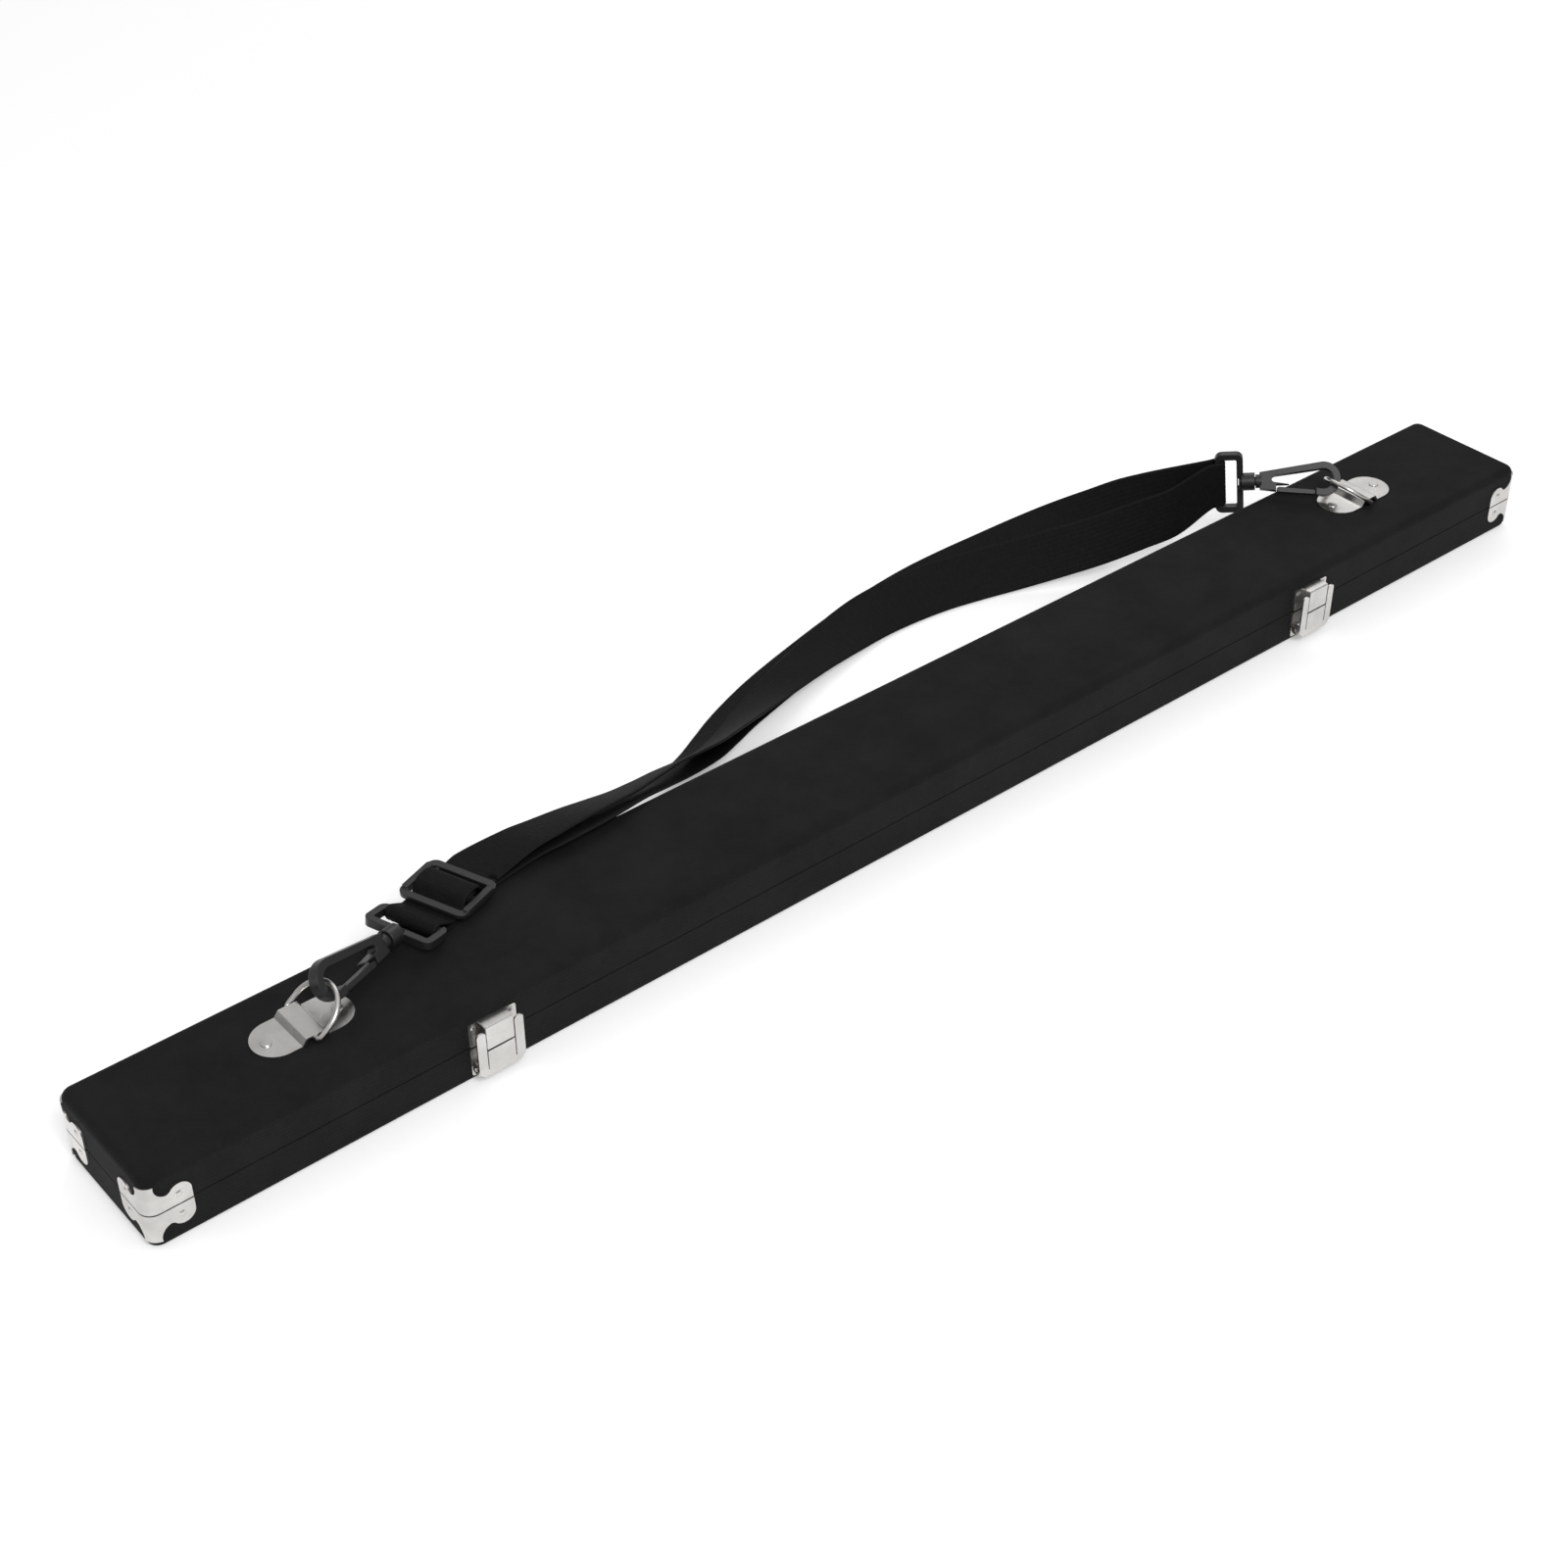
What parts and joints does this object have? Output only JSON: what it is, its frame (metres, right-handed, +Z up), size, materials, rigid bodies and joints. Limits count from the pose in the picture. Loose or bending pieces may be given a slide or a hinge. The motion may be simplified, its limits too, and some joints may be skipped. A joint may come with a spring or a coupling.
{
  "type": "violin bow case",
  "caption": "Slim hard case for violin bows: cloth-covered wooden base and hinged lid with metal latches and corner plates, and a webbing shoulder strap on snap hooks.",
  "frame": {"origin": "middle of the case's underside", "axes": "+Z up; +X along the case towards the bow tips' end, to the right as seen from the latches; -Y is the latch side"},
  "size_m": [0.7826, 0.1639, 0.0568],
  "materials": {
    "case_cloth": "matt black woven cloth, finely grained",
    "plywood": "plain sanded plywood",
    "plush": "soft dark red plush",
    "nickel": "bright nickel plate with fine wear",
    "black_plastic": "satin black moulded plastic",
    "webbing": "matt black ribbed webbing"
  },
  "bodies": {
    "base": {"base_corner_back_left": "nickel", "base_corner_back_right": "nickel", "base_corner_front_left": "nickel", "base_corner_front_right": "nickel", "base_corner_nails": "nickel", "base_cover": "case_cloth", "base_hinge_screws": "nickel", "base_latch_rivets": "nickel", "base_lining": "plush", "base_shell": "plywood", "bow_rest_left": "plush", "bow_rest_right": "plush", "clip_screw_left": "nickel", "clip_screw_right": "nickel", "frog_block": "plush", "hinge_base_leaf_left": "nickel", "hinge_base_leaf_middle": "nickel", "hinge_base_leaf_right": "nickel", "hinge_pin_left": "nickel", "hinge_pin_middle": "nickel", "hinge_pin_right": "nickel", "latch_pin_left": "nickel", "latch_pin_right": "nickel", "latch_plate_left": "nickel", "latch_plate_right": "nickel", "rim_strip": "plush", "tip_block": "plush"},
    "lid": {"hinge_lid_leaf_left": "nickel", "hinge_lid_leaf_middle": "nickel", "hinge_lid_leaf_right": "nickel", "hook_loop_left": "black_plastic", "hook_loop_right": "black_plastic", "latch_keeper_left": "nickel", "latch_keeper_right": "nickel", "lid_corner_back_left": "nickel", "lid_corner_back_right": "nickel", "lid_corner_front_left": "nickel", "lid_corner_front_right": "nickel", "lid_corner_nails": "nickel", "lid_cover": "case_cloth", "lid_hinge_screws": "nickel", "lid_latch_rivets": "nickel", "lid_lining": "plush", "lid_shell": "plywood", "strap_plate_left": "nickel", "strap_plate_right": "nickel", "strap_plate_rivets": "nickel", "strap_slider": "black_plastic", "strap_webbing": "webbing"},
    "bow_clip_left": {"bow_clip_left": "plywood"},
    "bow_clip_right": {"bow_clip_right": "plywood"},
    "hook_gate_left": {"hook_gate_left": "black_plastic"},
    "hook_gate_right": {"hook_gate_right": "black_plastic"},
    "hook_left": {"hook_left": "black_plastic"},
    "hook_right": {"hook_right": "black_plastic"},
    "latch_lever_left": {"latch_lever_left": "nickel"},
    "latch_lever_right": {"latch_lever_right": "nickel"},
    "ring_left": {"ring_left": "nickel"},
    "ring_right": {"ring_right": "nickel"}
  },
  "joints": [
    {"name": "lid_hinge", "type": "hinge", "parent": "base", "child": "lid", "pos_m": [0, 0.034, 0.017], "axis": [-1, 0, 0], "range_deg": [0, 95]},
    {"name": "latch_left_turn", "type": "hinge", "parent": "base", "child": "latch_lever_left", "pos_m": [-0.241, -0.0346, 0.0075], "axis": [1, 0, 0], "range_deg": [0, 60]},
    {"name": "latch_right_turn", "type": "hinge", "parent": "base", "child": "latch_lever_right", "pos_m": [0.2325, -0.0346, 0.0075], "axis": [1, 0, 0], "range_deg": [0, 60]},
    {"name": "ring_left_swing", "type": "hinge", "parent": "lid", "child": "ring_left", "pos_m": [-0.303, 0.002, 0.0359], "axis": [0, 1, 0], "range_deg": [-3, 3]},
    {"name": "hook_left_swivel", "type": "hinge", "parent": "lid", "child": "hook_left", "pos_m": [-0.28688, 0.00579, 0.04673], "axis": [0.9348, 0.3219, -0.15], "range_deg": [-6, 6]},
    {"name": "hook_left_gate_turn", "type": "hinge", "parent": "hook_left", "child": "hook_gate_left", "pos_m": [-0.2666, 0.01006, 0.03963], "axis": [0.3503, -0.7664, 0.5385], "range_deg": [-15, 0], "stiffness_Nm_per_rad": 0.01},
    {"name": "bow_clip_left_turn", "type": "hinge", "parent": "base", "child": "bow_clip_left", "pos_m": [-0.15, 0, 0.0158], "axis": [0, 0, 1], "range_deg": [0, 90]},
    {"name": "ring_right_swing", "type": "hinge", "parent": "lid", "child": "ring_right", "pos_m": [0.303, 0.002, 0.0359], "axis": [0, 1, 0], "range_deg": [-3, 3]},
    {"name": "hook_right_swivel", "type": "hinge", "parent": "lid", "child": "hook_right", "pos_m": [0.28941, 0.01135, 0.04525], "axis": [-0.6671, 0.7361, -0.115], "range_deg": [-6, 6]},
    {"name": "hook_right_gate_turn", "type": "hinge", "parent": "hook_right", "child": "hook_gate_right", "pos_m": [0.27322, 0.0248, 0.03916], "axis": [0.6245, 0.4682, -0.6251], "range_deg": [-15, 0], "stiffness_Nm_per_rad": 0.01},
    {"name": "bow_clip_right_turn", "type": "hinge", "parent": "base", "child": "bow_clip_right", "pos_m": [0.15, 0, 0.0158], "axis": [0, 0, 1], "range_deg": [0, 90]}
  ]
}
